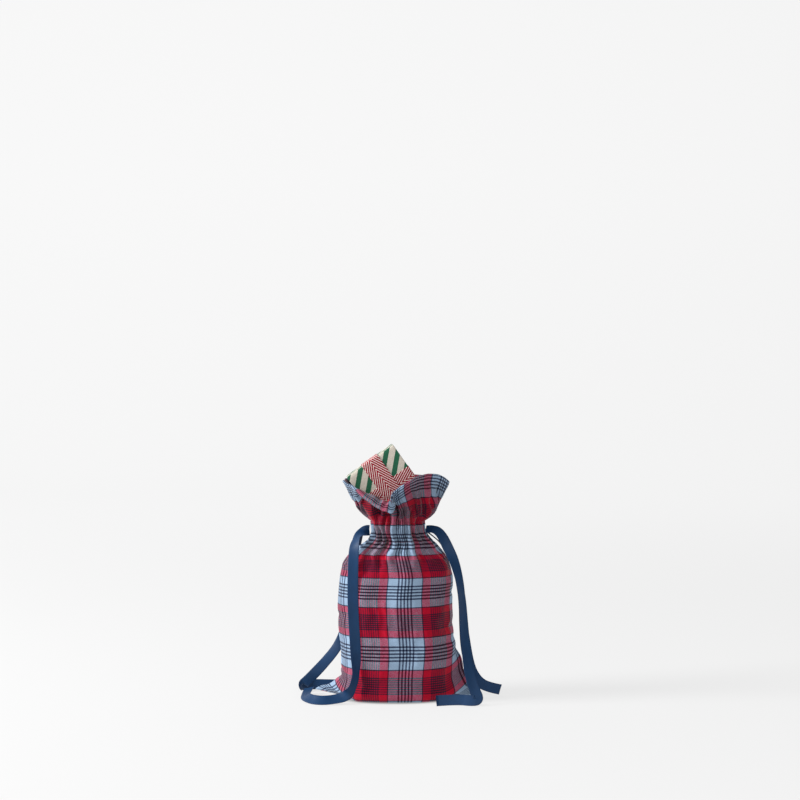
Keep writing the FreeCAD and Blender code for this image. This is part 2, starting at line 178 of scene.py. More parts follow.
# each tail's route points, each with the way the ribbon's face looks there
TAILS = {
    "left_front_tail": [
        ((-30.6, -1.2, 203), (0.1, -0.9, -0.35)), ((-38.5, -6, 201.5), (-0.3, -0.85, 0.45)),
        ((-46.5, -18, 195), (-0.7, -0.7, 0.2)), ((-49, -29, 178), (-0.3, -0.95, 0)),
        ((-50, -33, 120), FRONT), ((-46.5, -36, 66), (0.2, -1, 0)),
        ((-45.5, -37, 38), (0.75, -0.65, 0)), ((-49.5, -37, 20), (0.7, -0.7, 0)),
        ((-57.5, -37, 9), (0.3, -0.75, 0.6)), ((-73, -38, 5.6), (0, -0.7, 0.7)),
        ((-87, -39, 4.8), (0, -0.72, 0.7)), ((-98, -34, 5), (-0.2, -0.7, 0.65)),
        ((-106, -21, 5.2), (-0.5, -0.35, 0.8)), ((-107, -5, 4.6), (-0.35, -0.2, 0.9)),
        ((-104, 22, 7), (-0.25, -0.35, 0.9)),
    ],
    "left_back_tail": [
        ((-30.6, 1.2, 202), FRONT), ((-40, 7, 201), (-0.6, -0.6, 0.5)),
        ((-45, 26, 190), (-0.3, 0.5, 0.8)), ((-51, 40, 165), BACK), ((-55, 44, 115), BACK),
        ((-60, 43, 74), (0.1, 0.9, -0.1)), ((-71, 38, 53), (0.3, 0.85, -0.4)),
        ((-85.5, 33, 36), (0.25, 0.9, -0.3)), ((-99.5, 29, 21.5), BACK), ((-109, 27.5, 12.5), BACK),
        ((-114.5, 31, 7.6), (-0.8, 0.3, 0)), ((-110, 42, 7), (-0.3, 1, 0)),
        ((-98, 44, 6.8), BACK), ((-70, 41, 6.8), BACK),
    ],
    "right_front_tail": [
        ((36.6, -1.2, 203), (0, -0.6, 0.7)), ((46, -5, 205), (0.2, -0.65, 0.75)),
        ((55, -10, 199), (0.35, -0.85, 0.4)), ((63, -14, 183), (0.2, -0.95, 0)),
        ((72, -20, 164), (0.5, -0.85, 0)), ((79.5, -26, 130), (0.8, -0.6, 0)),
        ((82, -31, 90), (0.65, -0.75, 0)), ((84, -36, 62), (0.5, -0.85, 0)),
        ((88, -41, 35), (0.35, -0.95, 0)), ((94, -43, 18), (0.15, -1, 0.1)),
        ((99, -45, 7.5), (0.1, -0.95, 0.2)), ((91, -46, 6), (0.1, -0.9, 0.35)),
        ((73, -40, 6.6), (0, -0.9, 0.4)), ((48.5, -45, 5.9), (0, -0.9, 0.35)),
    ],
    "right_back_tail": [
        ((36.6, 1.2, 201), (0.45, 0.18, 0.85)), ((47, 5, 193), (0.65, 0.18, 0.75)),
        ((57, 8, 183), (0.7, 0.15, 0.7)), ((69, 10, 160), (0.95, -0.1, 0.3)),
        ((79.5, 10, 122), (0.85, -0.5, 0)), ((82.5, 8, 80), (0.5, -0.85, 0)),
        ((86, 4, 54), FRONT), ((91, 2, 33), FRONT), ((99.5, 2, 19.5), FRONT),
        ((111, 6, 11.5), FRONT), ((127, 13, 7), FRONT),
    ],
}


# ---- small tools -----------------------------------------
def smooth_table(xs, ys, x):
    """Values at x of a smooth curve through the table's points, level beyond both ends."""
    xs = np.asarray(xs, float)
    ys = np.asarray(ys, float)
    slopes = np.gradient(ys, xs, axis=0)
    x = np.clip(x, xs[0], xs[-1])
    i = np.clip(np.searchsorted(xs, x, side="right") - 1, 0, len(xs) - 2)
    h = xs[i + 1] - xs[i]
    t = (x - xs[i]) / h
    if ys.ndim > 1:
        t = t[..., None]
        h = h[..., None]
    low = (1.0 + 2.0 * t) * (1.0 - t) ** 2 * ys[i] + t * (1.0 - t) ** 2 * h * slopes[i]
    high = t * t * (3.0 - 2.0 * t) * ys[i + 1] + t * t * (t - 1.0) * h * slopes[i + 1]
    return low + high


def around_table(rows, u):
    """Values at u of a smooth closed curve through rows that start with their u."""
    rows = np.array(rows, float)
    ahead = rows[:3] + np.array([AROUND] + [0.0] * (rows.shape[1] - 1))
    behind = rows[-3:] - np.array([AROUND] + [0.0] * (rows.shape[1] - 1))
    rows = np.vstack([behind, rows, ahead])
    return smooth_table(rows[:, 0], rows[:, 1:], u)


def fade(x, start, end):
    """Smoothly 0 at start and before, 1 at end and after."""
    t = np.clip((x - start) / (end - start), 0.0, 1.0)
    return t * t * (3.0 - 2.0 * t)


def distance_round(u, centre):
    """How far u is from centre, the shorter way round the sack."""
    return np.abs(np.mod(u - centre + AROUND / 2.0, AROUND) - AROUND / 2.0)


def lengths_along(points):
    """The length of a line of points up to each of them."""
    return np.concatenate([[0.0], np.cumsum(np.linalg.norm(np.diff(points, axis=0), axis=1))])


def unit(vectors):
    """The vectors at length 1."""
    return vectors / np.maximum(np.linalg.norm(vectors, axis=-1, keepdims=True), 1e-9)


def add_to_scene(name, data):
    """A new object in the scene."""
    made = bpy.data.objects.new(name, data)
    bpy.context.scene.collection.objects.link(made)
    return made


def make_object(name, points, faces, uvs=None):
    """A mesh object from points in millimetres, with each face corner's cloth coordinates."""
    mesh = bpy.data.meshes.new(name)
    mesh.from_pydata([tuple(p) for p in np.asarray(points) * MM], [], [tuple(f) for f in faces])
    if uvs is not None:
        layer = mesh.uv_layers.new(name="cloth")
        layer.data.foreach_set("uv", (np.asarray(uvs, float) * MM).ravel())
    mesh.shade_smooth()
    mesh.update()
    return add_to_scene(name, mesh)


def thicken(piece, thickness):
    """Gives a sheet its thickness, on the inside."""
    modifier = piece.modifiers.new("thickness", "SOLIDIFY")
    modifier.thickness = thickness * MM
    modifier.offset = -1.0
    bpy.context.view_layer.update()
    graph = bpy.context.evaluated_depsgraph_get()
    mesh = bpy.data.meshes.new_from_object(piece.evaluated_get(graph))
    piece.modifiers.clear()
    piece.data = mesh


def closed_grid(rows, columns, across, along):
    """Faces of a grid of points that closes round its columns, and their cloth coordinates."""
    faces = []
    uvs = []
    for j in range(rows - 1):
        for i in range(columns):
            k = (i + 1) % columns
            faces.append((j * columns + i, j * columns + k, (j + 1) * columns + k, (j + 1) * columns + i))
            uvs += [(across[i], along[j]), (across[i + 1], along[j]),
                    (across[i + 1], along[j + 1]), (across[i], along[j + 1])]
    return faces, uvs


# ---- the sack's surface ----------------------------------
def ring_points(u, v):
    """Points and outward directions on the smooth ring at each v, by cloth length round it."""
    rows = np.array(RINGS, float)
    z, centre, width, depth, exponent = smooth_table(rows[:, 0], rows[:, 1:], v).T
    angles = np.linspace(-math.pi, math.pi, 721)
    points = np.empty((len(v), len(u), 3))
    normals = np.empty((len(v), len(u), 3))
    twist = -7.0 * fade(v, 150.0, 207.0)
    for k in range(len(v)):
        sine, cosine = np.sin(angles), np.cos(angles)
        x = width[k] * np.sign(sine) * np.abs(sine) ** (2.0 / exponent[k])
        y = -depth[k] * np.sign(cosine) * np.abs(cosine) ** (2.0 / exponent[k])
        length = np.concatenate([[0.0], np.cumsum(np.hypot(np.diff(x), np.diff(y)))])
        at = np.mod((u + twist[k]) / AROUND + 0.5, 1.0) * length[-1]
        px, py = np.interp(at, length, x), np.interp(at, length, y)
        step = 0.004 * length[-1]
        ahead, behind = np.mod(at + step, length[-1]), np.mod(at - step, length[-1])
        tx = np.interp(ahead, length, x) - np.interp(behind, length, x)
        ty = np.interp(ahead, length, y) - np.interp(behind, length, y)
        points[k] = np.stack([px + centre[k], py, np.full(len(u), z[k])], axis=-1)
        normals[k] = unit(np.stack([ty, -tx, np.zeros(len(u))], axis=-1))
    return points, normals


def gathers(u, v):
    """How far the gathers draw the cloth in: unevenly spaced and a little crooked."""
    turn, height = np.meshgrid(2.0 * math.pi * u / AROUND, v)
    phase = GATHER_COUNT * turn / 2.0 + 0.70 * np.sin(3.0 * turn + 0.7) + 0.50 * np.sin(7.0 * turn + 2.1)
    phase = phase + 0.60 * np.sin(height / 5.5 + 4.0 * turn)
    deep = 0.76 + 0.24 * np.sin(5.0 * turn + 1.3 + height / 14.0)
    wave = (1.0 - np.abs(np.cos(phase)) ** 1.1) * deep
    return 2.0 * smooth_table(*np.array(GATHERS).T, v)[:, None] * wave


def body_points(u, v):
    """The body, shoulders and neck, from the bottom seam to the upper casing stitches."""
    points, normals = ring_points(u, v)
    under = np.clip(v / SEAM_V, 0.0, 1.0)[:, None]
    beyond = np.where(np.abs(u) > SEAM_U, np.sign(u) * 2.0 * SEAM_U - u, u)
    seam = np.stack([beyond * 1.02, np.zeros(len(u)), np.full(len(u), FLOOR_CLEAR + 0.6)], axis=-1)
    points = points * (1.0 - under[..., None]) + seam[None] * under[..., None]
    points = add_ears(points, u, v)
    inward = gathers(u, v)
    for centre, half, depth, low in SHOULDER_FOLDS:
        off = distance_round(u, centre)
        along = fade(v, low, 200.0) * (1.0 - fade(v, 206.0, 230.0))
        spread = half * (1.0 + 0.8 * (1.0 - along))
        shape = np.exp(-((off[None] / spread[:, None]) ** 2) * 1.6)
        inward = inward + depth * along[:, None] * shape
    for centre, half, depth, height in CREASES:
        off = distance_round(u, centre)
        shape = np.exp(-((off[None] / half) ** 2))
        shape = shape * np.exp(-((v[:, None] - height - 0.25 * off[None]) / 4.0) ** 2)
        inward = inward + depth * shape
    pinch = np.exp(-((v - CASING_V[0]) / 3.0) ** 2) + np.exp(-((v - CASING_V[1]) / 3.0) ** 2)
    inward = inward + STITCH_SINK * pinch[:, None]
    inward = inward + slack(u, v)
    return points - normals * inward[..., None]


def slack(u, v):
    """Soft unevenness of the filled body."""
    uu, vv = np.meshgrid(u * 2.0 * math.pi / AROUND, v / 50.0)
    wave = 0.8 * np.sin(5.0 * uu + 1.1 * vv + 0.4) + 0.6 * np.sin(8.0 * uu - 1.9 * vv + 1.9)
    wave = wave + 0.5 * np.sin(3.0 * uu + 3.7 * vv + 3.0)
    return wave * fade(v, 4.0, 30.0)[:, None] * (1.0 - 0.6 * fade(v, 180.0, 200.0))[:, None]


def add_ears(points, u, v):
    """Draws the bottom corners out into folded ears that lie on the floor."""
    for ridge, (half, sharp) in ((LEFT_RIDGE, LEFT_EAR), (RIGHT_RIDGE, RIGHT_EAR)):
        rows = np.array(ridge, float)
        table = smooth_table(rows[:, 0], rows[:, 1:], v)
        ridge_u, at = table[:, 0], table[:, 1:]
        place = (ridge_u / AROUND + 0.5) * len(u)
        left = np.floor(place).astype(int)
        side = (place - left)[:, None]
        each = np.arange(len(v))
        shift = at - points[each, left] * (1.0 - side) - points[each, left + 1] * side
        shift *= (1.0 - fade(v, rows[-1, 0] - 16.0, rows[-1, 0]))[:, None]
        near = np.clip(1.0 - np.abs(u[None] - ridge_u[:, None]) / half, 0.0, 1.0) ** sharp
        points = points + shift[:, None, :] * near[..., None]
    return points


def heading_points(u, share):
    """The heading, from the upper stitches (0) to the rim (1), without its gathers."""
    start, normals = ring_points(u, np.array([CASING_V[1]]))
    start, normals = start[0] - normals[0] * STITCH_SINK, normals[0]
    rim = around_table(RIM, u)
    end = rim[:, :3]
    out = unit(np.stack([end[:, 0] * 0.75, end[:, 1], np.zeros(len(u))], axis=-1))
    tilt = np.radians(rim[:, 3])[:, None]
    finish = out * np.sin(tilt) + np.array([0.0, 0.0, 1.0]) * np.cos(tilt)
    roll = fade(rim[:, 3:], 35.0, 140.0)
    flare = 0.08 + 0.95 * np.abs(normals[:, :1]) ** 1.5 + 0.30 * np.maximum(-normals[:, 1:2], 0.0)
    flare = (flare + 0.75 * np.exp(-((u[:, None] - 80.0) / 30.0) ** 2)) * (1.0 - 0.8 * roll)
    flare = flare + 0.75 * np.exp(-((u[:, None] + 72.0) / 28.0) ** 2)
    rise = unit(np.array([0.0, 0.0, 1.0]) + flare * normals)
    reach = RIM_V - CASING_V[1]
    first = start + rise * (0.36 + 0.09 * np.abs(normals[:, :1]) ** 2 + 0.14 * roll) * reach
    second = end - finish * (0.32 - 0.14 * roll) * reach
    t = share[:, None, None]
    return (1 - t) ** 3 * start + 3 * (1 - t) ** 2 * t * first + 3 * (1 - t) * t * t * second + t ** 3 * end


def clear_of_gift(points, outward, u):
    """Eases the neck and heading sideways out of the upper gift, softly round where they press in."""
    turn, centre = turned(*UPPER_GIFT_PLACE)
    half = np.array(UPPER_GIFT) / 2.0 + GIFT_CLEAR
    aside = ring_points(u, np.array([CASING_V[1]]))[1][0]
    heading = aside @ turn
    need = np.zeros(points.shape[:2])
    for inset in (0.0, LAYER_GAP + CLOTH_THICK):
        local = (points - outward * inset - centre) @ turn
        inside = np.all(np.abs(local) < half, axis=-1)
        speed = np.where(np.abs(heading) < 1e-6, 1e-6, heading)
        leave = np.min((half * np.sign(speed) - local) / speed, axis=-1)
        need = np.maximum(need, np.where(inside, leave, 0.0))
    move = need
    for _ in range(14):
        move = (np.roll(move, 1, axis=1) + 2.0 * move + np.roll(move, -1, axis=1)) / 4.0
        padded = np.concatenate([move[:1] * 0.0, move, move[-1:]])
        move = np.maximum((padded[:-2] + 2.0 * move + padded[2:]) / 4.0, need)
    return points + aside[None] * move[..., None]


def grid_normals(points):
    """Outward directions of a closed grid of points."""
    round_it = np.roll(points, -1, axis=1) - np.roll(points, 1, axis=1)
    up_it = np.gradient(points, axis=0)
    return unit(np.cross(round_it, up_it))


def sack_surface():
    """The outside of the sack up to the rim: u, v, points, and outward directions without folds."""
    u = (np.arange(COLUMNS) / COLUMNS - 0.5) * AROUND
    v_under = np.linspace(SEAM_V, 0.0, 12)
    v_body = np.concatenate([v_under, np.arange(2.0, CASING_V[1] - 1.0, ROW), [CASING_V[1]]])
    body = body_points(u, v_body)
    steps = int((RIM_V - CASING_V[1]) / ROW)
    share = np.arange(0, steps + 1) / steps
    v_head = CASING_V[1] + share * (RIM_V - CASING_V[1])
    head = heading_points(u, share)
    outward = grid_normals(head)
    inward = gathers(u, v_head)
    for centre, half, depth, top in HEADING_FOLDS:
        off = distance_round(u, centre)
        spread = half * (1.0 + 1.2 * share)[:, None]
        along = fade(share, 0.0, 0.3 * top) * (1.0 - fade(share, 0.6 * top, top))
        inward = inward + depth * along[:, None] * np.exp(-((off[None] / spread) ** 2) * 1.5)
    head = head - outward * inward[..., None]
    v = np.concatenate([v_body, v_head[1:]])
    points = np.concatenate([body, head[1:]])
    outward = np.concatenate([ring_points(u, v_body)[1], outward[1:]])
    beside_gift = v > NECK_V
    points[beside_gift] = clear_of_gift(points[beside_gift], outward[beside_gift], u)
    return u, v, points, outward


def surface_at(surface, u, v, inset):
    """The point on the sack's outside at cloth coordinates u, v, moved inwards by inset."""
    columns, rows, points, outward = surface
    lined = points - outward * inset
    place = (u / AROUND + 0.5) * len(columns)
    i = int(math.floor(place)) % len(columns)
    k = (i + 1) % len(columns)
    side = place - math.floor(place)
    j = int(np.clip(np.searchsorted(rows, v) - 1, 0, len(rows) - 2))
    up = (v - rows[j]) / (rows[j + 1] - rows[j])
    low = lined[j, i] * (1.0 - side) + lined[j, k] * side
    high = lined[j + 1, i] * (1.0 - side) + lined[j + 1, k] * side
    return low * (1.0 - up) + high * up


def sack_cloth(surface, material, allowances):
    """The sack: one tube of cloth, closed along the bottom seam, its heading turned in as a facing."""
    u, v_outer, outer, outward = surface
    up_rim = unit(outer[-1] - outer[-2])
    turn = []
    v_turn = []
    half = LAYER_GAP / 2.0
    for k, angle in enumerate((45.0, 90.0, 135.0)):
        bend = math.radians(angle)
        turn.append(outer[-1] + up_rim * half * math.sin(bend) - outward[-1] * half * (1.0 - math.cos(bend)))
        v_turn.append(RIM_V - TURN_ROW * (k + 1))
    v_inner = np.arange(RIM_V - TURN_ROW, RIM_V - FACING_DEEP, -ROW)
    inner = np.empty((len(v_inner), COLUMNS, 3))
    lined = outer - outward * LAYER_GAP
    for column in range(COLUMNS):
        for axis in range(3):
            inner[:, column, axis] = np.interp(v_inner, v_outer, lined[:, column, axis])
    points = np.concatenate([outer, np.array(turn), inner])
    v = np.concatenate([v_outer, v_turn, 2.0 * RIM_V - FACING_SHIFT - v_inner])
    points[..., 2] = np.maximum(points[..., 2], FLOOR_CLEAR)
    faces, uvs = closed_grid(len(points), COLUMNS, np.append(u, AROUND / 2.0), v)
    piece = make_object("sack_cloth", points.reshape(-1, 3), faces, uvs)
    thicken(piece, CLOTH_THICK)
    piece.data.materials.append(material)
    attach(piece, "sack")
    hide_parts("front_panel", "back_panel", "front_facing", "back_facing")


def strip_mesh(name, rows):
    """A closed mesh through rows of points that each go once round the strip."""
    points = np.array(rows)
    count = points.shape[1]
    length = lengths_along(points[:, 0])
    girth = lengths_along(np.vstack([points[0], points[0, :1]]))
    faces, uvs = closed_grid(len(points), count, girth, length)
    for j, order in ((0, range(count - 1, -1, -1)), (len(points) - 1, range(count))):
        faces.append(tuple(j * count + i for i in order))
        uvs += [(girth[i], length[j]) for i in order]
    return make_object(name, points.reshape(-1, 3), faces, uvs)


def seams(surface, material):
    """The allowances of the side and bottom seams, inside the sack."""
    deep, half, inset = 8.0, 0.8, 3.4
    strips = {}
    for side, node in ((-1.0, "left_side_seam"), (1.0, "right_side_seam")):
        steps = ((0.0, -half, 0.0), (0.0, half, 0.0), (-side * deep, half, 0.0), (-side * deep, -half, 0.0))
        edges = [surface_at(surface, side * (SEAM_U - 0.01), v, inset) for v in np.arange(14.0, 186.0, 6.0)]
        strips[node] = [[edge + np.array(step) for step in steps] for edge in edges]
    low, high = 1.7, 2.6
    strips["bottom_seam"] = [[(x, -deep, low), (x, deep, low), (x, deep, high), (x, -deep, high)]
                             for x in np.arange(-60.0, 61.0, 6.0)]
    pieces = []
    for node, rows in strips.items():
        piece = strip_mesh(node + "_allowance", rows)
        piece.data.materials.append(material)
        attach(piece, "sack")
        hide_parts(node)
        pieces.append(piece)
    return pieces


def casing_loops(surface, material):
    """The part of each drawstring that runs round in the casing, gathered with the cloth."""
    half = RIBBON_WIDTH / 2.0
    heights = [CASING_MIDDLE + off for off in (-half, -2.0, 2.0, half)]
    steps, gap, thick = 200, 3.0, 0.45
    for node, exit_u, inset in (("left_drawstring_casing_loop", -SEAM_U, 0.95),
                                ("right_drawstring_casing_loop", SEAM_U, 1.60)):
        rows = []
        for k in range(steps + 1):
            u = exit_u + gap + (AROUND - 2.0 * gap) * k / steps
            u = (u + AROUND / 2.0) % AROUND - AROUND / 2.0
            ring = [surface_at(surface, u, v, inset) for v in heights]
            ring += [surface_at(surface, u, v, inset + thick) for v in reversed(heights)]
            rows.append(ring)
        piece = strip_mesh(node + "_ribbon", rows)
        piece.data.materials.append(material)
        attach(piece, "sack")
        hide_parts(node)


def stitches(surface, material):
    """Two rows of short running stitches round the casing, their ends sunk in the cloth."""
    half_wide, half_thick = 0.26, 0.20
    for node, v in (("lower_casing_stitching", CASING_V[0]), ("upper_casing_stitching", CASING_V[1])):
        points = []
        faces = []
        for k in range(STITCH_COUNT):
            start = -AROUND / 2.0 + 0.5 + AROUND * k / STITCH_COUNT
            for step in range(STITCH_STEPS + 1):
                u = start + STITCH_LENGTH * step / STITCH_STEPS
                place = surface_at(surface, u, v, 0.0)
                out = surface_at(surface, u, v, -1.0) - place
                across = np.cross(out, unit(surface_at(surface, u + 0.2, v, 0.0) - place))
                lift = -0.25 if step in (0, STITCH_STEPS) else 0.08
                base = len(points)
                for angle in np.arange(6) * math.pi / 3.0:
                    high = lift + half_thick * math.sin(angle)
                    points.append(place + out * high + across * half_wide * math.cos(angle))
                if step:
                    faces += [(base - 6 + i, base - 6 + (i + 1) % 6, base + (i + 1) % 6, base + i)
                              for i in range(6)]
        piece = make_object(node + "_thread", points, faces)
        piece.data.materials.append(material)
        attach(piece, "sack")
        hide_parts(node)


# ---- shader helpers --------------------------------------
class Graph:
    """A material's node tree with short calls for the nodes used here."""

    def __init__(self, name):
        self.material = bpy.data.materials.new(name)
        self.material.use_nodes = True
        self.tree = self.material.node_tree
        self.shader = self.tree.nodes["Principled BSDF"]

    def add(self, kind, **settings):
        """A new node."""
        made = self.tree.nodes.new("ShaderNode" + kind)
        for key, value in settings.items():
            setattr(made, key, value)
        return made

    def plug(self, socket, value):
        """Links another node's output, or sets a plain value."""
        if isinstance(value, bpy.types.NodeSocket):
            self.tree.links.new(value, socket)
        else:
            socket.default_value = value

    def math(self, operation, first, second=0.0):
        made = self.add("Math", operation=operation)
        self.plug(made.inputs[0], first)
        self.plug(made.inputs[1], second)
        return made.outputs[0]

    def plus(self, first, second):
        return self.math("ADD", first, second)

    def minus(self, first, second):
        return self.math("SUBTRACT", first, second)

    def times(self, first, second):
        return self.math("MULTIPLY", first, second)

    def band(self, value, low, high, soft):
        """1 between low and high, with soft edges."""
        return self.times(self.above(value, low, soft), self.below(value, high, soft))

    def above(self, value, edge, soft):
        made = self.add("MapRange", interpolation_type="SMOOTHSTEP")
        self.plug(made.inputs["Value"], value)
        made.inputs["From Min"].default_value = edge - soft
        made.inputs["From Max"].default_value = edge + soft
        return made.outputs["Result"]

    def below(self, value, edge, soft):
        return self.minus(1.0, self.above(value, edge, soft))

    def mix(self, share, first, second, blend="MIX"):
        made = self.add("Mix", data_type="RGBA", blend_type=blend)
        self.plug(made.inputs["Factor"], share)
        self.plug(made.inputs[6], first)
        self.plug(made.inputs[7], second)
        return made.outputs[2]

    def grey(self, value):
        made = self.add("CombineColor")
        for socket in made.inputs:
            self.plug(socket, value)
        return made.outputs[0]

    def gamma(self, colour):
        made = self.add("Gamma")
        self.plug(made.inputs["Color"], colour)
        made.inputs["Gamma"].default_value = 2.2
        return made.outputs[0]

    def noise(self, vector, scale, detail=3.0):
        made = self.add("TexNoise")
        self.plug(made.inputs["Vector"], vector)
        made.inputs["Scale"].default_value = scale
        made.inputs["Detail"].default_value = detail
        made.inputs["Roughness"].default_value = 0.55
        return made.outputs[0]

    def scaled(self, vector, factors):
        made = self.add("VectorMath", operation="MULTIPLY")
        self.plug(made.inputs[0], vector)
        made.inputs[1].default_value = factors
        return made.outputs[0]

    def cloth_coordinates(self):
        """The cloth coordinates in millimetres: a vector, and its two parts."""
        uv = self.add("UVMap", uv_map="cloth")
        vector = self.scaled(uv.outputs[0], (1000.0, 1000.0, 1000.0))
        parts = self.add("SeparateXYZ")
        self.plug(parts.inputs[0], vector)
        return vector, parts.outputs[0], parts.outputs[1]

    def bump(self, height, distance, strength):
        made = self.add("Bump")
        self.plug(made.inputs["Height"], height)
        made.inputs["Distance"].default_value = distance
        made.inputs["Strength"].default_value = strength
        self.tree.links.new(made.outputs[0], self.shader.inputs["Normal"])

    def set(self, **values):
        names = {"colour": "Base Color", "rough": "Roughness", "sheen": "Sheen Weight",
                 "sheen_rough": "Sheen Roughness", "specular": "Specular IOR Level"}
        for key, value in values.items():
            self.plug(self.shader.inputs[names[key]], value)


# ---- materials -------------------------------------------
RED_YARN = (0.760, 0.014, 0.185, 1.0)
NAVY_YARN = (0.085, 0.110, 0.200, 1.0)
LIGHT_YARN = (0.640, 0.745, 0.860, 1.0)


def yarn_stripes(graph, along, centre, half_repeat, light_half, pitch, mixed_from, fine_pitch, weights):
    """Colour and weight of one set of threads: a lined light band, then red, then red and navy mixed.

    weights are those of the light, red, mixed and navy threads where they cross the other set."""
    light, red, mixed, dark = weights
    soft = 0.18
    off = graph.math("PINGPONG", graph.minus(along, centre), half_repeat)
    in_band = graph.below(off, light_half, soft)
    line = graph.below(graph.math("PINGPONG", off, pitch / 2.0), 1.0, soft)
    line = graph.times(line, graph.below(off, 2.5 * pitch, soft))
    border = graph.band(off, light_half - 0.9, light_half + 0.4, soft)
    fine = graph.math("PINGPONG", graph.minus(off, mixed_from), fine_pitch / 2.0)
    in_mixed = graph.above(off, mixed_from, soft)
    fine = graph.times(graph.above(fine, fine_pitch * 0.19, soft), in_mixed)
    lined = graph.math("MAXIMUM", line, border)
    navy = graph.math("MAXIMUM", lined, fine)
    colour = graph.mix(in_band, RED_YARN, LIGHT_YARN)
    weight = graph.plus(graph.times(in_band, light - red), red)
    weight = graph.plus(weight, graph.times(in_mixed, mixed - red))
    weight = graph.plus(weight, graph.times(lined, dark))
    return graph.mix(navy, colour, NAVY_YARN), weight, in_band


def flannel():
    """Brushed twill flannel, its plaid made of two sets of coloured threads."""
    graph = Graph("flannel")
    vector, u, v = graph.cloth_coordinates()
    upright, upright_weight, upright_light = yarn_stripes(
        graph, u, centre=12.0, half_repeat=43.5, light_half=22.0, pitch=4.14,
        mixed_from=32.3, fine_pitch=2.8, weights=(1.0, 1.35, 0.85, 0.95))
    level, level_weight, level_light = yarn_stripes(
        graph, v, centre=58.0, half_repeat=37.5, light_half=19.5, pitch=4.1,
        mixed_from=27.5, fine_pitch=2.5, weights=(1.25, 1.35, 1.25, 0.95))
    twill = graph.math("SINE", graph.times(graph.plus(u, v), 2.0 * math.pi / 1.3))
    fibre_u = graph.noise(graph.scaled(vector, (2.6, 0.35, 1.0)), 1.0)
    fibre_v = graph.noise(graph.scaled(vector, (0.35, 2.6, 1.0)), 1.0)
    fleck = graph.minus(fibre_u, fibre_v)
    share = graph.math("DIVIDE", level_weight, graph.plus(level_weight, upright_weight))
    share = graph.plus(share, graph.times(twill, 0.14))
    share = graph.plus(share, graph.times(fleck, 0.8))
    woven = graph.gamma(graph.mix(share, upright, level))
    crossing = graph.math("ABSOLUTE", graph.minus(upright_light, level_light))
    nap = graph.mix(crossing, (1.0, 1.0, 1.0, 1.0), (1.02, 1.04, 0.86, 1.0))
    woven = graph.mix(1.0, woven, nap, blend="MULTIPLY")
    cloudy = graph.noise(vector, 0.05, detail=2.0)
    mottled = graph.noise(vector, 0.9, detail=4.0)
    shade = graph.plus(graph.times(cloudy, 0.30), graph.times(mottled, 0.45))
    shade = graph.plus(shade, 0.30)
    # painted shade: the colour is darkened by up to about a quarter over the gathered neck and heading, where
    # the folds shade each other
    painted_gather_shade = graph.times(graph.band(v, *GATHERED_V, 9.0), 0.26)
    shade = graph.times(shade, graph.minus(1.0, painted_gather_shade))
    graph.set(colour=graph.mix(1.0, woven, graph.grey(shade), blend="MULTIPLY"))
    graph.set(rough=0.92, sheen=0.18, sheen_rough=0.45, specular=0.12)
    height = graph.plus(graph.times(twill, 0.3), graph.times(mottled, 1.6))
    height = graph.plus(height, graph.times(fleck, 1.2))
    graph.bump(height, 0.00018, 0.8)
    return graph.material


def ribbon_material():
    """Blue ribbed ribbon with firmer woven edges."""
    graph = Graph("blue_ribbon")
    vector, across, along = graph.cloth_coordinates()
    rib = graph.math("SINE", graph.times(along, 2.0 * math.pi / 0.9))
    edge = graph.above(graph.math("ABSOLUTE", across), RIBBON_WIDTH / 2.0 - 1.0, 0.25)
    streak = graph.noise(graph.scaled(vector, (3.0, 0.08, 1.0)), 1.0)
    worn = graph.noise(graph.scaled(vector, (0.10, 0.05, 1.0)), 1.0, detail=2.0)
    share = graph.plus(graph.times(streak, 0.6), graph.times(worn, 0.5))
    share = graph.plus(share, graph.times(rib, 0.10))
    colour = graph.mix(share, (0.0015, 0.015, 0.048, 1.0), (0.005, 0.042, 0.122, 1.0))
    colour = graph.mix(graph.times(edge, 0.45), colour, (0.004, 0.024, 0.076, 1.0))
    graph.set(colour=colour, rough=0.50, sheen=0.03, sheen_rough=0.35, specular=0.22)
    graph.bump(graph.plus(graph.times(rib, 0.5), graph.times(edge, 0.6)), 0.00006, 0.5)
    return graph.material


def paper_material():
    """Cream gift paper with green diagonal stripes, in unrolled paper coordinates."""
    graph = Graph("gift_paper")
    vector, u, v = graph.cloth_coordinates()
    diagonal = graph.times(graph.minus(u, v), math.sqrt(0.5))
    wobble = graph.noise(vector, 0.8, detail=2.0)
    diagonal = graph.plus(diagonal, graph.times(wobble, 0.25))
    half_repeat = 6.65
    off = graph.math("PINGPONG", graph.plus(diagonal, 12.6), half_repeat)
    stripe = graph.below(off, 3.0, 0.12)
    grain = graph.noise(vector, 1.6, detail=5.0)
    cream = graph.mix(grain, (0.44, 0.40, 0.34, 1.0), (0.60, 0.55, 0.47, 1.0))
    green = graph.mix(grain, (0.000, 0.062, 0.028, 1.0), (0.002, 0.115, 0.050, 1.0))
    graph.set(colour=graph.mix(stripe, cream, green), rough=0.62, specular=0.35)
    crumple = graph.noise(vector, 0.09, detail=3.0)
    graph.bump(graph.plus(crumple, graph.times(grain, 0.05)), 0.0012, 0.5)
    return graph.material


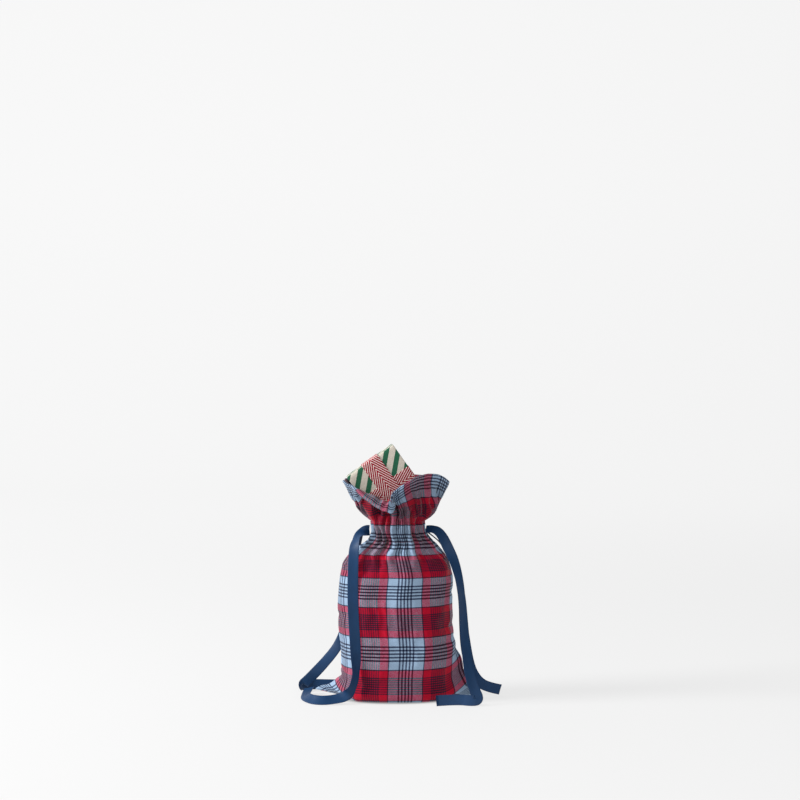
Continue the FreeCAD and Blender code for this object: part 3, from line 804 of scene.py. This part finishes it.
def band_material():
    """Red and white herringbone band: slanting stripes that meet in points along the middle."""
    graph = Graph("woven_band")
    vector, across, along = graph.cloth_coordinates()
    slant = 1.0 / math.tan(math.radians(27.0))
    run = graph.plus(along, graph.times(graph.math("ABSOLUTE", across), slant))
    half_repeat = 2.70
    off = graph.math("PINGPONG", run, half_repeat)
    red = graph.below(off, 1.88, 0.10)
    thread = graph.math("SINE", graph.times(graph.plus(across, along), 2.0 * math.pi / 0.8))
    fleck = graph.noise(graph.scaled(vector, (1.2, 1.2, 1.0)), 1.0)
    red_yarn = graph.mix(fleck, (0.18, 0.001, 0.010, 1.0), (0.31, 0.004, 0.022, 1.0))
    white_yarn = graph.mix(fleck, (0.62, 0.50, 0.47, 1.0), (0.84, 0.72, 0.68, 1.0))
    graph.set(colour=graph.mix(red, white_yarn, red_yarn), rough=0.85, sheen=0.1, specular=0.2)
    height = graph.plus(graph.times(thread, 0.4), red)
    graph.bump(height, 0.00010, 0.5)
    return graph.material


def thread_material():
    """Dark red sewing thread."""
    graph = Graph("sewing_thread")
    place = graph.add("TexCoord").outputs["Object"]
    twist = graph.noise(place, 1800.0)
    colour = graph.mix(twist, (0.05, 0.006, 0.015, 1.0), (0.22, 0.02, 0.05, 1.0))
    graph.set(colour=colour, rough=0.7, sheen=0.2)
    graph.bump(twist, 0.0001, 0.6)
    return graph.material


def board_material():
    """Grey-brown carton board."""
    graph = Graph("carton_board")
    place = graph.add("TexCoord").outputs["Object"]
    grain = graph.noise(place, 300.0, detail=5.0)
    colour = graph.mix(grain, (0.20, 0.15, 0.10, 1.0), (0.34, 0.27, 0.19, 1.0))
    graph.set(colour=colour, rough=0.85)
    graph.bump(grain, 0.0002, 0.5)
    return graph.material


def floor_material():
    """Pale seamless studio paper, with a painted shadow where the sack stands on it."""
    graph = Graph("floor")
    place = graph.add("TexCoord").outputs["Object"]
    grain = graph.noise(place, 400.0)
    colour = graph.mix(grain, (0.15, 0.15, 0.15, 1.0), (0.16, 0.16, 0.16, 1.0))
    graph.set(colour=colour, rough=1.0, specular=0.0)
    graph.shader.inputs["Emission Color"].default_value = (1.0, 1.0, 1.0, 1.0)
    parts = graph.add("SeparateXYZ")
    graph.plug(parts.inputs[0], place)
    glow, more_at_the_back, least_share = 0.71, 0.06, 0.4
    far = graph.above(parts.outputs[1], 1.4, 0.9)
    strength = graph.plus(graph.times(far, more_at_the_back), glow)
    # painted shadow: the floor glows less under the sack, darkening the floor where the sack meets it
    footprint = graph.add("VectorMath", operation="LENGTH")
    graph.plug(footprint.inputs[0], graph.scaled(place, FOOTPRINT_SCALE))
    beside = graph.above(footprint.outputs["Value"], 1.0, 0.16)
    share = graph.plus(graph.times(beside, 1.0 - least_share), least_share)
    strength = graph.times(strength, share)
    graph.plug(graph.shader.inputs["Emission Strength"], strength)
    return graph.material


# ---- drawstring tails ------------------------------------
def route_line(name, route):
    """The smooth line of a tail: a NURBS curve with the route's points as its control points."""
    curve = bpy.data.curves.new(name + "_line", "CURVE")
    curve.dimensions = "3D"
    curve.resolution_u = 12
    spline = curve.splines.new("NURBS")
    spline.points.add(len(route) - 1)
    for point, (place, _) in zip(spline.points, route):
        point.co = (*(c * MM for c in place), 1.0)
    spline.order_u = 3
    spline.use_endpoint_u = True
    holder = add_to_scene(name + "_line", curve)
    bpy.context.view_layer.update()
    mesh = bpy.data.meshes.new_from_object(holder)
    line = np.array([vertex.co for vertex in mesh.vertices]) / MM
    bpy.data.objects.remove(holder)
    return line


def face_looks(line, route):
    """The way the ribbon's face looks at each point of its line."""
    knots = np.array([place for place, _ in route])
    looks = np.array([look for _, look in route], float)
    at = [int(np.argmin(np.linalg.norm(line - knot, axis=1))) for knot in knots]
    at[0], at[-1] = 0, len(line) - 1
    at = np.maximum.accumulate(at)
    spots = np.array(at, float) + np.arange(len(at)) * 1e-6
    index = np.arange(len(line))
    return np.stack([np.interp(index, spots, looks[:, axis]) for axis in range(3)], axis=-1)


def ribbon_strip(name, line, looks, width, thickness, hollow):
    """A thin ribbon with soft edges along a line, its mesh closed, and its length."""
    heading = unit(np.gradient(line, axis=0))
    across = unit(np.cross(looks, heading))
    look = np.cross(heading, across)
    length = lengths_along(line)
    half = width / 2.0
    spans = np.array([-half, -half + 0.5, -half * 0.6, -half * 0.2, half * 0.2, half * 0.6, half - 0.5, half])
    thick = np.array([0.30, 0.5, 0.42, 0.42, 0.42, 0.42, 0.5, 0.30]) * thickness
    cup = hollow * (spans / half) ** 2
    ring_span = np.concatenate([spans, spans[::-1]])
    ring_lift = np.concatenate([cup + thick, (cup - thick)[::-1]])
    points = line[:, None] + across[:, None] * ring_span[None, :, None]
    points = points + look[:, None] * ring_lift[None, :, None]
    rows, count = points.shape[:2]
    faces, uvs = closed_grid(rows, count, np.append(ring_span, ring_span[0]), length)
    for j, order in ((0, range(count)), (rows - 1, range(count - 1, -1, -1))):
        faces.append(tuple(j * count + i for i in order))
        uvs += [(ring_span[i], length[j]) for i in order]
    return make_object(name, points.reshape(-1, 3), faces, uvs), length[-1]


def tails(material):
    """The four drawstring tails, each a ribbon that bends away from its exit along its route."""
    for name, route in TAILS.items():
        line = route_line(name, route)
        piece, length = ribbon_strip(name + "_ribbon", line, face_looks(line, route),
                                     RIBBON_WIDTH, RIBBON_THICK, 0.35)
        piece.data.materials.append(material)
        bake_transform(piece)
        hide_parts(name)


# ---- gifts -----------------------------------------------
def add_straight(points, looks, end):
    """Adds evenly spaced points from the last one to end, all looking the way the last one does."""
    start, look = points[-1], looks[-1]
    count = max(2, int(np.linalg.norm(end - start) / EDGE_STEP))
    for k in range(1, count + 1):
        points.append(start + (end - start) * k / count)
        looks.append(look)


def rounded_rectangle(half_x, half_y, radius):
    """Points and outward directions round a rectangle, from the middle of its +Y side by +X and back."""
    corners = [(half_x - radius, half_y - radius, 90.0), (half_x - radius, radius - half_y, 0.0),
               (radius - half_x, radius - half_y, -90.0), (radius - half_x, half_y - radius, -180.0)]
    points = [np.array([0.0, half_y])]
    looks = [np.array([0.0, 1.0])]
    for x, y, start in corners:
        angles = np.radians(np.linspace(start, start - 90.0, CORNER_STEPS + 1))
        round_corner = [np.array([math.cos(angle), math.sin(angle)]) for angle in angles]
        arc = [np.array([x, y]) + radius * look for look in round_corner]
        add_straight(points, looks, arc[0])
        points += arc[1:]
        looks += round_corner[1:]
    add_straight(points, looks, points[0])
    return np.array(points), np.array(looks)


def wrapping(name, size, turn):
    """A box wrapped in one sheet of paper that overlaps down its back, with its ends folded over."""
    width, thick, length = size
    ring, looks = rounded_rectangle(width / 2.0, thick / 2.0, 1.0)
    girth = lengths_along(ring)
    over = np.where(girth < width / 2.0, 0.25, 0.0)[:, None]
    ring = ring + looks * over
    half = length / 2.0
    levels = [(-half, 1.0), (-half + 0.3, 0.4), (-half + 1.0, 0.0)]
    levels += [(z, 0.0) for z in np.linspace(-half + 4.0, half - 4.0, 24)]
    levels += [(half - 1.0, 0.0), (half - 0.3, 0.4), (half, 1.0)]
    rows = [np.column_stack([ring - looks * shrink, np.full(len(ring), z)]) for z, shrink in levels]
    inner = width / 2.0 - thick / 2.0
    for share in END_SHARES:
        shrunk = np.column_stack([np.clip(ring[:, 0], -inner, inner) * share + ring[:, 0] * (1.0 - share),
                                  ring[:, 1] * (1.0 - share)])
        end = np.full(len(ring), half - 0.35 * share)
        rows.insert(0, np.column_stack([shrunk, -end]))
        rows.append(np.column_stack([shrunk, end]))
    points = np.array(rows)
    count = points.shape[1]
    round_uv = np.stack(np.meshgrid(girth[-1] / 2.0 - girth, points[:, 0, 2]), axis=-1)
    over_end = half + thick / 2.0 + points[..., 1]
    end_uv = np.stack([points[..., 0], np.sign(points[..., 2]) * over_end], axis=-1)
    faces = []
    uvs = []
    last = len(points) - 1
    for j in range(last):
        uv = end_uv if min(j, last - 1 - j) < len(END_SHARES) else round_uv
        for i in range(count - 1):
            faces.append((j * count + i + 1, j * count + i, (j + 1) * count + i, (j + 1) * count + i + 1))
            uvs += [uv[j, i + 1], uv[j, i], uv[j + 1, i], uv[j + 1, i + 1]]
    placed = points.reshape(-1, 3) @ turn[0].T + turn[1]
    return make_object(name, placed, faces, uvs)


def band(name, half_x, half_y, axes, turn):
    """A woven band round a gift. axes say which way the loop's plane and the band's width lie."""
    ring, looks = rounded_rectangle(half_x, half_y, 1.5)
    line = ring[:, :1] * axes[0] + ring[:, 1:] * axes[1]
    face = looks[:, :1] * axes[0] + looks[:, 1:] * axes[1]
    return ribbon_strip(name, line @ turn[0].T + turn[1], face @ turn[0].T, BAND_WIDTH, BAND_THICK, 0.0)[0]


def gift(name, body, size, turn, paper, woven):
    """A wrapped box with a band round it and another along it, crossing on its front and back."""
    width, thick, length = (side / 2.0 for side in size)
    x, y, z = np.eye(3)
    pieces = {
        "wrapping_paper": wrapping(name + "_paper", size, turn),
        "ribbon_cross": band(name + "_band_cross", width + CROSS_LIFT, thick + CROSS_LIFT, (x, y), turn),
        "ribbon_long": band(name + "_band_long", length + LONG_LIFT[0], thick + LONG_LIFT[1], (-z, y), turn),
    }
    for node, piece in pieces.items():
        piece.data.materials.append(paper if node == "wrapping_paper" else woven)
        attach(piece, body)
        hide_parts(name + "_" + node)


def turned(centre, lean, yaw):
    """Rotation and place of a gift that leans to the left and is turned about its own length."""
    lean, yaw = math.radians(lean), math.radians(yaw)
    about_y = np.array([[math.cos(lean), 0.0, -math.sin(lean)],
                        [0.0, 1.0, 0.0],
                        [math.sin(lean), 0.0, math.cos(lean)]])
    about_z = np.array([[math.cos(yaw), -math.sin(yaw), 0.0],
                        [math.sin(yaw), math.cos(yaw), 0.0],
                        [0.0, 0.0, 1.0]])
    return about_y @ about_z, np.array(centre)


# ---- camera, light and floor -----------------------------
def camera():
    """In front of the sack and a little above it, with the sack low in the frame."""
    data = bpy.data.cameras.new("camera")
    data.lens = 85.0
    data.sensor_width = 36.0
    place = add_to_scene("camera", data)
    place.location = (0.006, -2.242, 0.495)
    downward = 3.5
    place.rotation_euler = (math.radians(90.0 - downward), 0.0, 0.0)
    bpy.context.scene.camera = place


def area_light(name, location, target, size, power):
    """A round soft light that looks at target."""
    data = bpy.data.lights.new(name, "AREA")
    data.shape = "DISK"
    data.size = size
    data.energy = power
    light = add_to_scene(name, data)
    light.location = location
    light.rotation_euler = (Vector(target) - Vector(location)).to_track_quat("-Z", "Y").to_euler()


def studio():
    """Pale floor that curves up into a backdrop, a soft key light from the upper left, and even fill."""
    world = bpy.data.worlds.new("world")
    world.use_nodes = True
    world.node_tree.nodes["Background"].inputs["Color"].default_value = (1.0, 1.0, 1.0, 1.0)
    world.node_tree.nodes["Background"].inputs["Strength"].default_value = 0.34
    bpy.context.scene.world = world
    middle = (0.0, 0.0, 0.12)
    area_light("key", (-2.5, -0.5, 1.4), middle, 1.0, 125.0)
    area_light("fill", (0.3, -2.5, 1.5), middle, 1.2, 24.0)
    flat_to, curve = 2.2, 0.8
    profile = [(-6.0, 0.0), (flat_to, 0.0)]
    for angle in np.radians(range(10, 91, 10)):
        profile.append((flat_to + curve * math.sin(angle), curve - curve * math.cos(angle)))
    profile.append((flat_to + curve, 6.0))
    points = []
    for x in (-8.0, 8.0):
        points += [(x / MM, y / MM, z / MM) for y, z in profile]
    count = len(profile)
    faces = [(k, k + 1, count + k + 1, count + k) for k in range(count - 1)]
    floor = make_object("floor", np.array(points), [face[::-1] for face in faces])
    floor.data.materials.append(floor_material())
    bpy.context.scene.view_settings.view_transform = "Standard"


def carried_over(materials):
    """Materials for the CAD pieces that stay as they are, by their record slot."""
    slots = {row["node"]: row["material_slot"] for row in frame["record"]["subparts"]}
    for name, piece in frame["nodes"].items():
        slot = slots.get(name)
        if slot in materials and piece.type == "MESH":
            piece.data.materials.clear()
            piece.data.materials.append(materials[slot])


camera()
studio()
ribbon, cloth, thread = ribbon_material(), flannel(), thread_material()
paper, woven = paper_material(), band_material()
tails(ribbon)
surface = sack_surface()
sack_cloth(surface, cloth, seams(surface, cloth))
casing_loops(surface, ribbon)
stitches(surface, thread)
gift("upper_gift", "upper_gift", UPPER_GIFT, turned(*UPPER_GIFT_PLACE), paper, woven)
gift("lower_gift", "sack", LOWER_GIFT, turned(*LOWER_GIFT_PLACE), paper, woven)
carried_over({"carton_board": board_material()})
